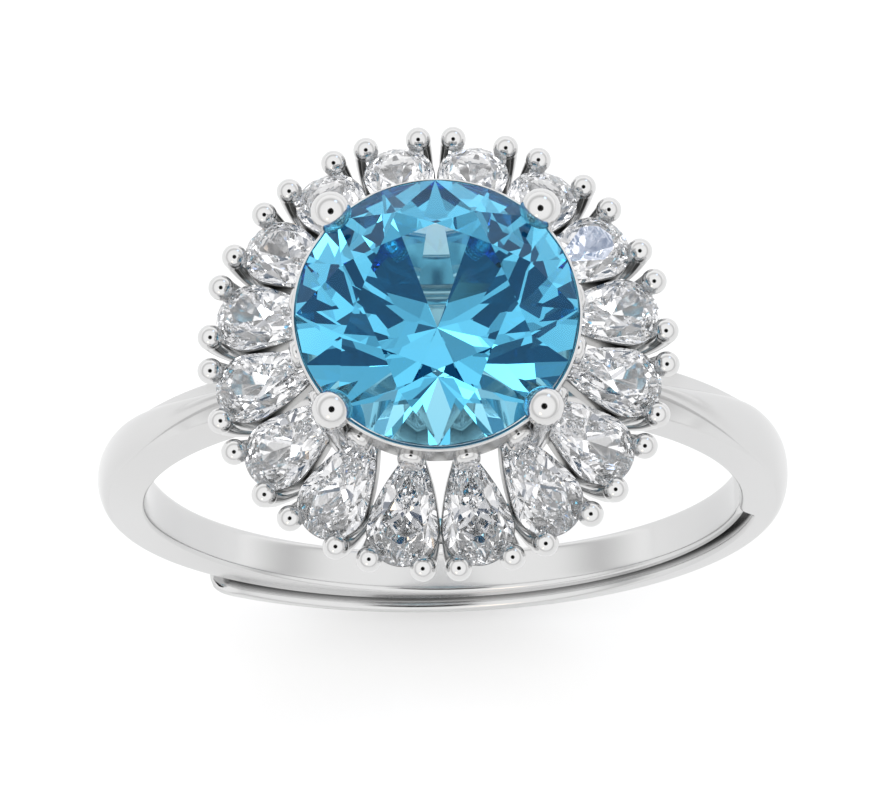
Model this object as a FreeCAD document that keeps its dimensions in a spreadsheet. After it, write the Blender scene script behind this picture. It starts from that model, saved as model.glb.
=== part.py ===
import FreeCAD, Part
import math
import os

# Cocktail ring: a domed band made of an upper arch and two overlapping leaves, a round blue stone in
# a four-claw basket, and a halo of sixteen pear-shaped stones that point at it.
# Frame: millimetres, origin at the centre of the finger hole, +Y along the finger,
# +Z towards the centre stone, +X to the right of somebody who looks along +Y.

V = FreeCAD.Vector
Y_AXIS = V(0, 1, 0)
Z_AXIS = V(0, 0, 1)

DIMENSIONS = [
    # finger hole and band
    ("bore_radius", 9.05),
    ("band_outer_radius", 10.5),
    ("arch_width", 1.76),
    ("arch_top_width", 1.5),
    ("arch_waist_start", 5.3),
    ("arch_waist_share", 0.3),
    ("dome_drop", 0.42),
    ("hinge_offset", 9.78),
    ("knuckle_radius", 0.85),
    ("knuckle_gap", 0.03),
    # the two leaves and the sliding face between them
    ("inner_leaf_radius", 9.95),
    ("inner_leaf_shift", -0.55),
    ("inner_leaf_tip_angle", 83.0),
    ("inner_leaf_width", 1.4),
    ("outer_leaf_radius", 11.0),
    ("outer_leaf_shift", -0.5),
    ("outer_leaf_tip_angle", 43.0),
    ("outer_leaf_width", 1.86),
    ("relief_radius", 10.15),
    ("relief_shift", -0.65),
    ("relief_drop", 0.04),
    ("relief_end_angle", 85.0),
    ("leaf_tip_bulge", 0.14),
    # centre stone
    ("centre_radius", 3.92),
    ("centre_girdle_level", 14.85),
    ("centre_girdle_half", 0.05),
    ("centre_crown_height", 1.22),
    ("centre_pavilion_depth", 3.5),
    ("centre_table_ratio", 0.55),
    # basket
    ("collar_top_radius", 4.03),
    ("collar_foot_radius", 3.9),
    ("collar_wall", 0.34),
    ("collar_top_level", 14.73),
    ("collar_foot_level", 13.38),
    ("base_top_radius", 2.95),
    ("base_foot_radius", 2.62),
    ("base_wall", 0.42),
    ("base_top_level", 11.0),
    ("base_foot_level", 9.75),
    # claws of the centre stone
    ("claw_head_radius", 0.575),
    ("claw_head_level", 15.12),
    ("claw_head_reach", 4.14),
    ("claw_neck_radius", 0.42),
    ("claw_neck_level", 14.5),
    ("claw_neck_reach", 4.2),
    ("claw_waist_radius", 0.34),
    ("claw_waist_level", 11.8),
    ("claw_waist_reach", 3.85),
    ("claw_foot_radius", 0.3),
    ("claw_foot_level", 10.2),
    ("claw_foot_reach", 2.72),
    # halo: the pears lean outwards, their tips under the collar
    ("pear_count", 16),
    ("pear_tip_reach", 3.2),
    ("pear_tip_level", 12.58),
    ("pear_tilt", 20.0),
    ("pear_length", 3.42),
    ("pear_width", 2.0),
    ("pear_shoulder_angle", 12.0),
    ("pear_heart_share", 0.82),
    ("pear_girdle_half", 0.03),
    ("pear_crown_height", 0.4),
    ("pear_pavilion_depth", 0.85),
    ("pear_table_ratio", 0.58),
    ("cup_lip", 0.03),
    ("cup_wall", 0.22),
    ("cup_depth", 0.5),
    ("cup_top_drop", 0.05),
    ("rail_inner_radius", 4.55),
    ("rail_outer_radius", 5.4),
    ("rail_foot_level", 10.05),
    ("rail_top_level", 10.45),
    # small claws of the halo
    ("bead_radius", 0.37),
    ("bead_reach", 6.49),
    ("bead_level", 11.68),
    ("bead_angle", 6.8),
    ("wire_radius", 0.21),
    ("wire_foot_reach", 5.1),
    ("wire_foot_level", 10.3),
    ("wire_foot_angle", 8.7),
    ("tab_radius", 0.37),
    ("tab_head_reach", 3.92),
    ("tab_head_level", 13.8),
    ("tab_foot_reach", 3.72),
    ("tab_foot_level", 12.95),
    # cut of the stones
    ("upper_girdle_slope", 5.5),
    ("lower_girdle_slope", 1.6),
    ("star_slope_share", 0.6),
]

GIRDLE_SIDES = 64
FACET_STEP = 22.5
FACET_ROWS = 16
CUT_MARGIN = 0.5
POINT_TOLERANCE = 1e-7

doc = FreeCAD.newDocument("cocktail_ring")
sheet = doc.addObject("Spreadsheet::Sheet", "Dimensions")
for row, (alias, value) in enumerate(DIMENSIONS, start=1):
    sheet.set("A%d" % row, alias)
    sheet.set("B%d" % row, str(value))
    sheet.setAlias("B%d" % row, alias)
doc.recompute()

subparts = []


def size(alias):
    """A driving dimension, read from the sheet."""
    return float(getattr(sheet, alias))


def bind(feature, property_name, formula):
    """Drive a property from the sheet; every word of the formula that is an alias is looked up there."""
    words = []
    for word in formula.split():
        words.append("Dimensions." + word if hasattr(sheet, word) else word)
    feature.setExpression(property_name, " ".join(words))


def keep(feature, label):
    """Mark a document object as a sub-part of the ring and give it its name."""
    feature.Label = label
    subparts.append(feature)
    return feature


def polar(radius, degrees, level):
    """A point at a radius and an angle about the stone axis, at a height."""
    turn = math.radians(degrees)
    return V(radius * math.cos(turn), radius * math.sin(turn), level)


# ---------------------------------------------------------------- sketches and bodies

def new_body(name):
    return doc.addObject("PartDesign::Body", name)


def new_sketch(body, name, plane_role, shift_x=0.0):
    """A sketch on one of the body's own origin planes, moved along X where asked."""
    sketch = body.newObject("Sketcher::SketchObject", name)
    plane = [f for f in body.Origin.OriginFeatures if f.Role == plane_role][0]
    sketch.AttachmentSupport = [(plane, "")]
    sketch.MapMode = "FlatFace"
    sketch.AttachmentOffset = FreeCAD.Placement(V(shift_x, 0, 0), FreeCAD.Rotation())
    return sketch


def arc_through(start, middle, end):
    return Part.Arc(V(*start, 0), V(*middle, 0), V(*end, 0))


def line_between(start, end):
    return Part.LineSegment(V(*start, 0), V(*end, 0))


def polygon_lines(points):
    return [line_between(points[i], points[(i + 1) % len(points)]) for i in range(len(points))]


def pad_both_ways(body, sketch, formula):
    pad = body.newObject("PartDesign::Pad", body.Name + "_pad")
    pad.Profile = sketch
    pad.Midplane = True
    bind(pad, "Length", formula)
    doc.recompute()
    return pad


def revolve_profile(name, profile):
    """A body turned about the stone axis from a closed profile of (radius, height) points."""
    body = new_body(name)
    sketch = new_sketch(body, name + "_profile", "XZ_Plane")
    sketch.addGeometry(polygon_lines(profile), False)
    turned = body.newObject("PartDesign::Revolution", name + "_turned")
    turned.Profile = sketch
    turned.ReferenceAxis = (sketch, ["V_Axis"])
    turned.Angle = 360.0
    doc.recompute()
    return body


# ---------------------------------------------------------------- band

def on_circle(radius, shift, drop, degrees):
    """Where a ray from the origin, at an angle from straight down towards +X, meets a circle."""
    turn = math.radians(degrees)
    ray = (math.sin(turn), -math.cos(turn))
    along = shift * ray[0] - drop * ray[1]
    reach = along + math.sqrt(radius ** 2 - shift ** 2 - drop ** 2 + along ** 2)
    return (reach * ray[0], reach * ray[1])


def above_hinge(side, ring_radius, ring_shift, round_radius):
    """The upper crossing of a band circle with a round about the hinge on that side."""
    hinge_x = side * size("hinge_offset")
    apart = hinge_x - ring_shift
    along = (apart ** 2 + ring_radius ** 2 - round_radius ** 2) / (2 * apart)
    height = math.sqrt(ring_radius ** 2 - along ** 2)
    return (ring_shift + along, height)


def dome_band(body, radius, shift, width):
    """Turn the flat outer face of a padded band piece into a dome about an axis along the finger."""
    edge = radius - size("dome_drop")
    outside = radius + CUT_MARGIN
    half = width / 2
    beyond = half + CUT_MARGIN
    before = body.Shape.Volume
    sketch = new_sketch(body, body.Name + "_dome", "XY_Plane", shift)
    above = [(edge, half), (edge, beyond), (outside, beyond)]
    path = above + [(x, -y) for x, y in above[::-1]]
    sides = [line_between(path[i], path[i + 1]) for i in range(len(path) - 1)]
    sketch.addGeometry(sides + [arc_through((edge, -half), (radius, 0), (edge, half))], False)
    groove = body.newObject("PartDesign::Groove", body.Name + "_domed")
    groove.Profile = sketch
    groove.ReferenceAxis = (sketch, ["V_Axis"])
    groove.Angle = 360.0
    doc.recompute()
    assert body.Shape.Volume < before, body.Name + " was not domed"


def waist_arch(body):
    """Narrow the upper arch from its full width at the sides to the width under the stones."""
    far = size("band_outer_radius") + CUT_MARGIN
    full = size("arch_width") / 2
    top = size("arch_top_width") / 2
    start = size("arch_waist_start")
    middle = (start + size("band_outer_radius")) / 2
    between = top + size("arch_waist_share") * (full - top)
    clear = full + CUT_MARGIN
    before = body.Shape.Volume
    for side in (1, -1):
        sketch = new_sketch(body, body.Name + "_waist", "XY_Plane")
        right = arc_through((start, side * top), (middle, side * between), (far, side * full))
        left = arc_through((-far, side * full), (-middle, side * between), (-start, side * top))
        path = [(far, side * full), (far, side * clear), (-far, side * clear), (-far, side * full)]
        sides = [line_between(path[i], path[i + 1]) for i in range(len(path) - 1)]
        across = line_between((-start, side * top), (start, side * top))
        sketch.addGeometry([right] + sides + [left, across], False)
        pocket = body.newObject("PartDesign::Pocket", body.Name + "_waisted")
        pocket.Profile = sketch
        pocket.Type = "ThroughAll"
        pocket.Midplane = True
        doc.recompute()
        assert body.Shape.Volume < before, body.Name + " was not narrowed"
        before = body.Shape.Volume


def build_upper_arch():
    bore = size("bore_radius")
    outer = size("band_outer_radius")
    hinge = size("hinge_offset")
    socket = size("knuckle_radius") + size("knuckle_gap")
    outer_right = above_hinge(1, outer, 0, socket)
    inner_right = above_hinge(1, bore, 0, socket)
    outer_left = above_hinge(-1, outer, 0, socket)
    inner_left = above_hinge(-1, bore, 0, socket)
    body = new_body("upper_arch")
    sketch = new_sketch(body, "upper_arch_outline", "XZ_Plane")
    sketch.addGeometry([
        arc_through(outer_right, (0, outer), outer_left),
        arc_through(outer_left, (-hinge, socket), inner_left),
        arc_through(inner_left, (0, bore), inner_right),
        arc_through(inner_right, (hinge, socket), outer_right),
    ], False)
    pad_both_ways(body, sketch, "arch_width")
    dome_band(body, outer, 0.0, size("arch_width"))
    waist_arch(body)
    return keep(body, "upper_arch")


def build_inner_leaf():
    """The leaf that grows from the left side and runs on the finger's side of the other one."""
    bore = size("bore_radius")
    face = size("inner_leaf_radius")
    shift = size("inner_leaf_shift")
    tip = size("inner_leaf_tip_angle")
    hinge = size("hinge_offset")
    round_end = size("knuckle_radius")
    outer_top = above_hinge(-1, face, shift, round_end)
    inner_top = above_hinge(-1, bore, 0, round_end)
    outer_tip = on_circle(face, shift, 0, tip)
    inner_tip = on_circle(bore, 0, 0, tip)
    tip_turn = math.degrees(size("leaf_tip_bulge") / bore)
    tip_end = on_circle((bore + math.hypot(*outer_tip)) / 2, 0, 0, tip + tip_turn)
    body = new_body("inner_leaf")
    sketch = new_sketch(body, "inner_leaf_outline", "XZ_Plane")
    sketch.addGeometry([
        arc_through(outer_top, on_circle(face, shift, 0, 0), outer_tip),
        arc_through(outer_tip, tip_end, inner_tip),
        arc_through(inner_tip, on_circle(bore, 0, 0, 0), inner_top),
        arc_through(inner_top, (-hinge, round_end), outer_top),
    ], False)
    pad_both_ways(body, sketch, "inner_leaf_width")
    dome_band(body, size("band_outer_radius"), 0.0, size("inner_leaf_width"))
    return keep(body, "inner_leaf")


def build_outer_leaf():
    """The leaf that grows from the right side and covers the other one from outside."""
    bore = size("bore_radius")
    outer = size("outer_leaf_radius")
    shift = size("outer_leaf_shift")
    relief = (size("relief_radius"), size("relief_shift"), size("relief_drop"))
    tip = -size("outer_leaf_tip_angle")
    step = size("relief_end_angle")
    hinge = size("hinge_offset")
    round_end = size("knuckle_radius")
    outer_top = above_hinge(1, outer, shift, round_end)
    inner_top = above_hinge(1, bore, 0, round_end)
    step_inner = on_circle(bore, 0, 0, step)
    step_outer = on_circle(*relief, step)
    inner_tip = on_circle(*relief, tip)
    outer_tip = on_circle(outer, shift, 0, tip)
    tip_turn = math.degrees(size("leaf_tip_bulge") * 2 / outer)
    tip_reach = (math.hypot(*inner_tip) + math.hypot(*outer_tip)) / 2
    tip_end = on_circle(tip_reach, 0, 0, tip - tip_turn)
    body = new_body("outer_leaf")
    sketch = new_sketch(body, "outer_leaf_outline", "XZ_Plane")
    sketch.addGeometry([
        arc_through(outer_tip, on_circle(outer, shift, 0, 0), outer_top),
        arc_through(outer_top, (hinge, round_end), inner_top),
        arc_through(inner_top, on_circle(bore, 0, 0, (90 + step) / 2), step_inner),
        line_between(step_inner, step_outer),
        arc_through(step_outer, on_circle(*relief, 0), inner_tip),
        arc_through(inner_tip, tip_end, outer_tip),
    ], False)
    pad_both_ways(body, sketch, "outer_leaf_width")
    dome_band(body, outer, shift, size("outer_leaf_width"))
    return keep(body, "outer_leaf")


# ---------------------------------------------------------------- faceted stones

def clip_faces(faces, normal, offset):
    """Cut a convex solid, held as a list of flat faces, by a plane and close it with one new face."""
    clipped = []
    rim = []
    for points in faces:
        kept = []
        for i, here in enumerate(points):
            there = points[(i + 1) % len(points)]
            depth_here = normal.dot(here) - offset
            depth_there = normal.dot(there) - offset
            if depth_here <= POINT_TOLERANCE:
                kept.append(here)
            if abs(depth_here) <= POINT_TOLERANCE:
                rim.append(here)
            if depth_here * depth_there < 0 and min(abs(depth_here), abs(depth_there)) > POINT_TOLERANCE:
                crossing = here + (there - here) * (depth_here / (depth_here - depth_there))
                kept.append(crossing)
                rim.append(crossing)
        if len(kept) > 2:
            clipped.append(kept)
    corners = []
    for point in rim:
        if all(point.distanceToPoint(other) > 10 * POINT_TOLERANCE for other in corners):
            corners.append(point)
    if len(corners) > 2:
        middle = sum(corners, V()) * (1.0 / len(corners))
        first = (corners[0] - middle).normalize()
        second = normal.cross(first)
        corners.sort(key=lambda p: math.atan2((p - middle).dot(second), (p - middle).dot(first)))
        clipped.append(corners)
    return clipped


def solid_of_planes(planes, reach):
    """The convex solid inside every plane, each given as an outward normal and a distance."""
    low, high = -reach, reach
    corner = [[V(x, y, z) for x, y in ((low, low), (high, low), (high, high), (low, high))]
              for z in (low, high)]
    faces = [corner[0][::-1], corner[1]]
    for i in range(4):
        j = (i + 1) % 4
        faces.append([corner[0][i], corner[0][j], corner[1][j], corner[1][i]])
    for normal, offset in planes:
        faces = clip_faces(faces, normal, offset)
    walls = []
    for points in faces:
        walls.append(Part.Face(Part.makePolygon(points + [points[0]])))
    shell = Part.makeShell(walls)
    shell.sewShape()
    solid = Part.makeSolid(shell)
    if solid.Volume < 0:
        solid.reverse()
    return solid


def tilted_plane(degrees, slope, point):
    """A plane whose normal leans from the stone axis by the slope angle, through a point."""
    turn = math.radians(degrees)
    lean = math.radians(slope)
    normal = V(math.sin(lean) * math.cos(turn), math.sin(lean) * math.sin(turn), math.cos(lean))
    return (normal, normal.dot(point))


def brilliant_planes(edge, centre_x, girdle_half, crown, depth, table_ratio):
    """Facet planes of a brilliant cut. edge(degrees) gives how far the outline reaches that way."""
    planes = [(V(0, 0, 1), girdle_half + crown), (V(0, 0, -1), girdle_half + depth)]
    for k in range(GIRDLE_SIDES):
        turn = 360.0 * k / GIRDLE_SIDES
        planes.append((polar(1.0, turn, 0.0), edge(turn)))
    for k in range(FACET_ROWS):
        turn = FACET_STEP * k
        is_main = k % 2 == 0
        half_step = 0.0 if is_main else FACET_STEP / 2
        crown_extra = 0.0 if is_main else size("upper_girdle_slope")
        depth_extra = 0.0 if is_main else size("lower_girdle_slope")
        for facing in sorted({turn - half_step, turn + half_step}):
            reach = edge(facing) - centre_x * math.cos(math.radians(facing))
            rim = V(centre_x, 0, 0) + polar(reach * math.cos(math.radians(half_step)), facing, 0)
            rise = math.degrees(math.atan2(crown, reach * (1 - table_ratio)))
            fall = math.degrees(math.atan2(depth, reach))
            planes.append(tilted_plane(facing, rise + crown_extra, rim + V(0, 0, girdle_half)))
            planes.append(tilted_plane(facing, 180 - fall - depth_extra, rim - V(0, 0, girdle_half)))
        if not is_main:
            reach = edge(turn) - centre_x * math.cos(math.radians(turn))
            corner = reach * table_ratio * math.cos(math.radians(FACET_STEP))
            star = V(centre_x, 0, girdle_half + crown) + polar(corner, turn, 0)
            rise = math.degrees(math.atan2(crown, reach * (1 - table_ratio)))
            planes.append(tilted_plane(turn, size("star_slope_share") * rise, star))
    return planes


def build_centre_stone():
    radius = size("centre_radius")
    planes = brilliant_planes(lambda turn: radius, 0.0, size("centre_girdle_half"),
                              size("centre_crown_height"), size("centre_pavilion_depth"),
                              size("centre_table_ratio"))
    stone = doc.addObject("Part::Feature", "centre_stone")
    stone.Shape = solid_of_planes(planes, 2 * radius)
    stone.Placement = FreeCAD.Placement(V(0, 0, size("centre_girdle_level")), FreeCAD.Rotation())
    return keep(stone, "centre_stone")


# ---------------------------------------------------------------- pear outline

def pear_arcs(grow):
    """Centres and radii of the round end and the two flanks of a pear outline, grown by a lip.

    The tip is at the local origin, the axis is local +X, and the flanks are tangent to the round end.
    """
    end_radius = size("pear_width") / 2
    end_x = size("pear_length") - end_radius
    lean = math.radians(size("pear_shoulder_angle"))
    extra = (end_x ** 2 - end_radius ** 2) / (2 * (end_radius - end_x * math.sin(lean)))
    flank = V(end_x + extra * math.sin(lean), -extra * math.cos(lean), 0)
    return V(end_x, 0, 0), end_radius + grow, flank, end_radius + extra + grow, lean


def pear_edge(degrees):
    """How far the pear outline reaches in a direction, measured from its tip."""
    end, end_radius, flank, flank_radius, lean = pear_arcs(0.0)
    turn = math.radians((degrees + 180) % 360 - 180)
    facing = V(math.cos(turn), abs(math.sin(turn)), 0)
    tip_lean = math.atan2(-flank.y, -flank.x)
    if abs(turn) <= math.pi / 2 + lean:
        return end.dot(facing) + end_radius
    if abs(turn) <= tip_lean:
        return flank.dot(facing) + flank_radius
    return 0.0


def mirrored(point):
    return V(point.x, -point.y, 0)


def pear_wire(grow):
    """Sketch arcs of the pear outline, grown outwards or inwards."""
    end, end_radius, flank, flank_radius, lean = pear_arcs(grow)
    tip = V(flank.x - math.sqrt(flank_radius ** 2 - flank.y ** 2), 0, 0)
    joint = end + V(-math.sin(lean), math.cos(lean), 0) * end_radius
    joint_turn = math.atan2(joint.y - flank.y, joint.x - flank.x)
    tip_turn = math.atan2(tip.y - flank.y, tip.x - flank.x)
    middle_turn = (joint_turn + tip_turn) / 2
    middle = flank + V(math.cos(middle_turn), math.sin(middle_turn), 0) * flank_radius
    return [
        Part.Arc(tip, middle, joint),
        Part.Arc(joint, end + V(end_radius, 0, 0), mirrored(joint)),
        Part.Arc(mirrored(joint), mirrored(middle), tip),
    ]


def halo_placement(k, lift):
    """Place number k of the halo: the local origin at the pear's tip, local +X outwards and down.

    lift moves the piece along its own axis, which leans outwards by the pear's tilt.
    """
    turn = 360.0 / size("pear_count") * (k + 0.5)
    lean = FreeCAD.Rotation(Y_AXIS, size("pear_tilt"))
    place = FreeCAD.Placement(V(), FreeCAD.Rotation(Z_AXIS, turn).multiply(lean))
    tip = polar(size("pear_tip_reach"), turn, size("pear_tip_level"))
    place.Base = tip + place.Rotation.multVec(V(0, 0, lift))
    return place


def build_pear_stones():
    end_x = size("pear_length") - size("pear_width") / 2
    planes = brilliant_planes(pear_edge, end_x * size("pear_heart_share"), size("pear_girdle_half"),
                              size("pear_crown_height"), size("pear_pavilion_depth"),
                              size("pear_table_ratio"))
    cut_stone = solid_of_planes(planes, 2 * size("pear_length"))
    stones = []
    for k in range(int(size("pear_count"))):
        stone = doc.addObject("Part::Feature", "pear_stone_%02d" % (k + 1))
        stone.Shape = cut_stone
        stone.Placement = halo_placement(k, 0.0)
        stones.append(keep(stone, stone.Name))
    return stones


# ---------------------------------------------------------------- claws

def tapered_wire(start, start_radius, end, end_radius):
    """A tapered round wire between two points, with round ends."""
    run = end - start
    if abs(start_radius - end_radius) < POINT_TOLERANCE:
        rod = Part.makeCylinder(start_radius, run.Length, start, run)
    else:
        rod = Part.makeCone(start_radius, end_radius, run.Length, start, run)
    return rod.fuse([Part.makeSphere(start_radius, start), Part.makeSphere(end_radius, end)])


def build_centre_claws(stones):
    """Four heavy claws, notched where they meet the centre stone and the pears beside them."""
    claws = []
    for k in range(4):
        turn = 45.0 + 90.0 * k
        head = polar(size("claw_head_reach"), turn, size("claw_head_level"))
        neck = polar(size("claw_neck_reach"), turn, size("claw_neck_level"))
        waist = polar(size("claw_waist_reach"), turn, size("claw_waist_level"))
        foot = polar(size("claw_foot_reach"), turn, size("claw_foot_level"))
        shape = Part.makeSphere(size("claw_head_radius"), head)
        shape = shape.fuse([
            tapered_wire(head, size("claw_neck_radius"), neck, size("claw_neck_radius")),
            tapered_wire(neck, size("claw_neck_radius"), waist, size("claw_waist_radius")),
            tapered_wire(waist, size("claw_waist_radius"), foot, size("claw_foot_radius")),
        ])
        claw = doc.addObject("Part::Feature", "centre_claw_%d" % (k + 1))
        claw.Shape = single_solids(shape.cut([stone.Shape for stone in stones]))
        claws.append(keep(claw, claw.Name))
    return claws


def single_solids(shape):
    """The largest solid of a shape, so that a cut leaves no loose chips."""
    return max(shape.Solids, key=lambda solid: solid.Volume)


def cut_by(name, base, tools):
    """A sub-part that is a body less the pieces that it seats."""
    shape = base.Shape.cut([tool.Shape for tool in tools])
    piece = doc.addObject("Part::Feature", name)
    piece.Shape = single_solids(shape)
    return keep(piece, name)


# ---------------------------------------------------------------- basket and halo metal

def build_collar(stone, claws):
    top = size("collar_top_radius")
    foot = size("collar_foot_radius")
    wall = size("collar_wall")
    high = size("collar_top_level")
    low = size("collar_foot_level")
    body = revolve_profile("collar_blank", [(foot - wall, low), (foot, low), (top, high), (top - wall, high)])
    return cut_by("stone_collar", body, [stone] + claws)


def build_base(arch, claws):
    top = size("base_top_radius")
    foot = size("base_foot_radius")
    wall = size("base_wall")
    high = size("base_top_level")
    low = size("base_foot_level")
    body = revolve_profile("base_blank", [(foot - wall, low), (foot, low), (top, high), (top - wall, high)])
    return cut_by("basket_base", body, [arch] + claws)


def build_cups(stones, claws, collar):
    """An open pear-shaped seat under each pear."""
    cups = []
    for k, stone in enumerate(stones):
        body = new_body("cup_blank_%02d" % (k + 1))
        sketch = new_sketch(body, "cup_outline_%02d" % (k + 1), "XY_Plane")
        sketch.addGeometry(pear_wire(size("cup_lip")) + pear_wire(size("cup_lip") - size("cup_wall")), False)
        pad = body.newObject("PartDesign::Pad", "cup_wall_%02d" % (k + 1))
        pad.Profile = sketch
        bind(pad, "Length", "cup_depth")
        body.Placement = halo_placement(k, -size("cup_top_drop") - size("cup_depth"))
        doc.recompute()
        cups.append(cut_by("pear_cup_%02d" % (k + 1), body, [stone, collar] + claws))
    return cups


def build_rail():
    inner = size("rail_inner_radius")
    outer = size("rail_outer_radius")
    low = size("rail_foot_level")
    high = size("rail_top_level")
    body = revolve_profile("halo_rail", [(inner, low), (outer, low), (outer, high), (inner, high)])
    return keep(body, "halo_rail")


def build_bead_claws(stones, cups, rail):
    """Two bead-headed claws at the round end of each pear, rising outwards from the rail."""
    step = 360.0 / size("pear_count")
    claws = []
    for k in range(int(size("pear_count"))):
        tools = [stones[k].Shape, cups[k].Shape, rail.Shape]
        for side in (-1, 1):
            axis = step * (k + 0.5)
            bead_turn = axis + side * size("bead_angle")
            foot_turn = axis + side * size("wire_foot_angle")
            bead = polar(size("bead_reach"), bead_turn, size("bead_level"))
            foot = polar(size("wire_foot_reach"), foot_turn, size("wire_foot_level"))
            wire = tapered_wire(foot, size("wire_radius"), bead, size("wire_radius"))
            claw = wire.fuse(Part.makeSphere(size("bead_radius"), bead))
            claws.append(single_solids(claw.cut(tools)))
    group = doc.addObject("Part::Feature", "bead_claws")
    group.Shape = Part.makeCompound(claws)
    return keep(group, "bead_claws")


def build_tip_tabs(stones, cups, collar, stone, centre_claws):
    """One rounded tab on the outside of the collar for each pear, reaching down over its tip."""
    step = 360.0 / size("pear_count")
    tabs = []
    for k in range(int(size("pear_count"))):
        tools = [stones[k].Shape, cups[k].Shape, collar.Shape, stone.Shape]
        tools += [claw.Shape for claw in centre_claws]
        axis = step * (k + 0.5)
        foot = polar(size("tab_foot_reach"), axis, size("tab_foot_level"))
        head = polar(size("tab_head_reach"), axis, size("tab_head_level"))
        tab = tapered_wire(foot, size("tab_radius"), head, size("tab_radius"))
        tabs.append(single_solids(tab.cut(tools)))
    group = doc.addObject("Part::Feature", "tip_prongs")
    group.Shape = Part.makeCompound(tabs)
    return keep(group, "tip_prongs")


def check_document():
    for item in doc.Objects:
        assert not {"Invalid", "Error"} & set(item.State), item.Label + " failed"
    for piece in subparts:
        assert not piece.Shape.isNull() and piece.Shape.isValid(), piece.Label + " has no valid shape"


arch = build_upper_arch()
build_inner_leaf()
build_outer_leaf()
centre_stone = build_centre_stone()
pear_stones = build_pear_stones()
centre_claws = build_centre_claws([centre_stone] + pear_stones)
collar = build_collar(centre_stone, centre_claws)
build_base(arch, centre_claws)
pear_cups = build_cups(pear_stones, centre_claws, collar)
rail = build_rail()
build_bead_claws(pear_stones, pear_cups, rail)
build_tip_tabs(pear_stones, pear_cups, collar, centre_stone, centre_claws)
doc.recompute()
check_document()

os.makedirs("parts", exist_ok=True)
for piece in subparts:
    piece.Shape.exportStep("parts/%s.step" % piece.Label)
print("wrote %d sub-parts" % len(subparts))
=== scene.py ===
import math

import bmesh
import bpy
from mathutils import Matrix, Vector


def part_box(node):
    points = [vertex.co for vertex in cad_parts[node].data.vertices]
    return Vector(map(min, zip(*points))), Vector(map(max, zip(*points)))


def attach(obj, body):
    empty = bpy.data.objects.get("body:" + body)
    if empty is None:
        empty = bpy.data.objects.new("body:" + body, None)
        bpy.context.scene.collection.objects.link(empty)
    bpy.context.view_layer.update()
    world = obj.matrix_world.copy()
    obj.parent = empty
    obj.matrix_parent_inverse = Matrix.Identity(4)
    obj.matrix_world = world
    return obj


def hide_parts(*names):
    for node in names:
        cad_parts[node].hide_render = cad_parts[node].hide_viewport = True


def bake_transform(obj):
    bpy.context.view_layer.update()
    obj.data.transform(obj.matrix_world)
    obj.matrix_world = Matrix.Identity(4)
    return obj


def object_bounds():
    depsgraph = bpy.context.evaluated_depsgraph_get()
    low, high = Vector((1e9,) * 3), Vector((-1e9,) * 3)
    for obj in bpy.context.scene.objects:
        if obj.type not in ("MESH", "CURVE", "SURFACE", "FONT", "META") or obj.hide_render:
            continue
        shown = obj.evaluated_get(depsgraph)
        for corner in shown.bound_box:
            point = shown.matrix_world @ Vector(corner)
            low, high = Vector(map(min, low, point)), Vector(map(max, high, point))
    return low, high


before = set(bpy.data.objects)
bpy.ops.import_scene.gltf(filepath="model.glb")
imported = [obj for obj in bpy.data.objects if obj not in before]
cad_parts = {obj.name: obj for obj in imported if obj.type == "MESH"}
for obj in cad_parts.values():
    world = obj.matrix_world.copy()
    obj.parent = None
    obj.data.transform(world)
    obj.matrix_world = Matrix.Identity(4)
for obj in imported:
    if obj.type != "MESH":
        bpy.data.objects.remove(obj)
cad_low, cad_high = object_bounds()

# Everything below is written in millimetres in the ring's own frame and scaled to metres when a
# mesh is made: origin at the centre of the finger hole, +Y along the finger, +Z towards the stone.
MM = 0.001

# ---- the band; its angles run from straight down, positive on the right, to 180 at the top
BORE_RADIUS = 9.05
BAND_OUTER_RADIUS = cad_high[0] / MM
BAND_TOP = 180.0
BAND_SIDE = 90.0
BAND_STATIONS = 280
INNER_LEAF_RADIUS = 9.95
INNER_LEAF_SHIFT = -0.55
INNER_LEAF_TIP = 83.0
INNER_LEAF_ROUND = 0.3
OUTER_LEAF_RADIUS = 11.0
OUTER_LEAF_SHIFT = -0.5
OUTER_LEAF_TIP = -43.0
OUTER_LEAF_ROUND = 0.7
RELIEF_RADIUS = 10.15
RELIEF_SHIFT = -0.65
RELIEF_RAMP = (83.4, 87.0)
# what is left of the thickness and of the width at the very tip of a leaf
TIP_THICKNESS_SHARE = 0.25
TIP_WIDTH_SHARE = 0.6

# half the width at the finger, half the width at the flank's top and the rise of the dome, on the
# ring's side, on its leaf and on the slim saddle under the halo; each CHANGE holds the angles
# between which one turns into the next
LEFT_SIDE = {"half": 0.86, "shoulder": 0.62, "rise": 0.34}
LEFT_LEAF = {"half": 0.68, "shoulder": 0.64, "rise": 0.12}
LEFT_CHANGE = (-100.0, -55.0)
RIGHT_SIDE = {"half": 0.88, "shoulder": 0.8, "rise": 0.34}
RIGHT_LEAF = {"half": 0.91, "shoulder": 0.88, "rise": 0.4}
RIGHT_CHANGE = (105.0, 75.0)
SADDLE = {"half": 0.76, "shoulder": 0.62}
SADDLE_CHANGE = (142.0, 164.0)
# the dome reaches this close to the flank, and narrows to a ridge of this half width near the head
RIDGE_INSET = 0.02
RIDGE_HALF = 0.16
RIDGE_CHANGE = (112.0, 146.0)

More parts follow.
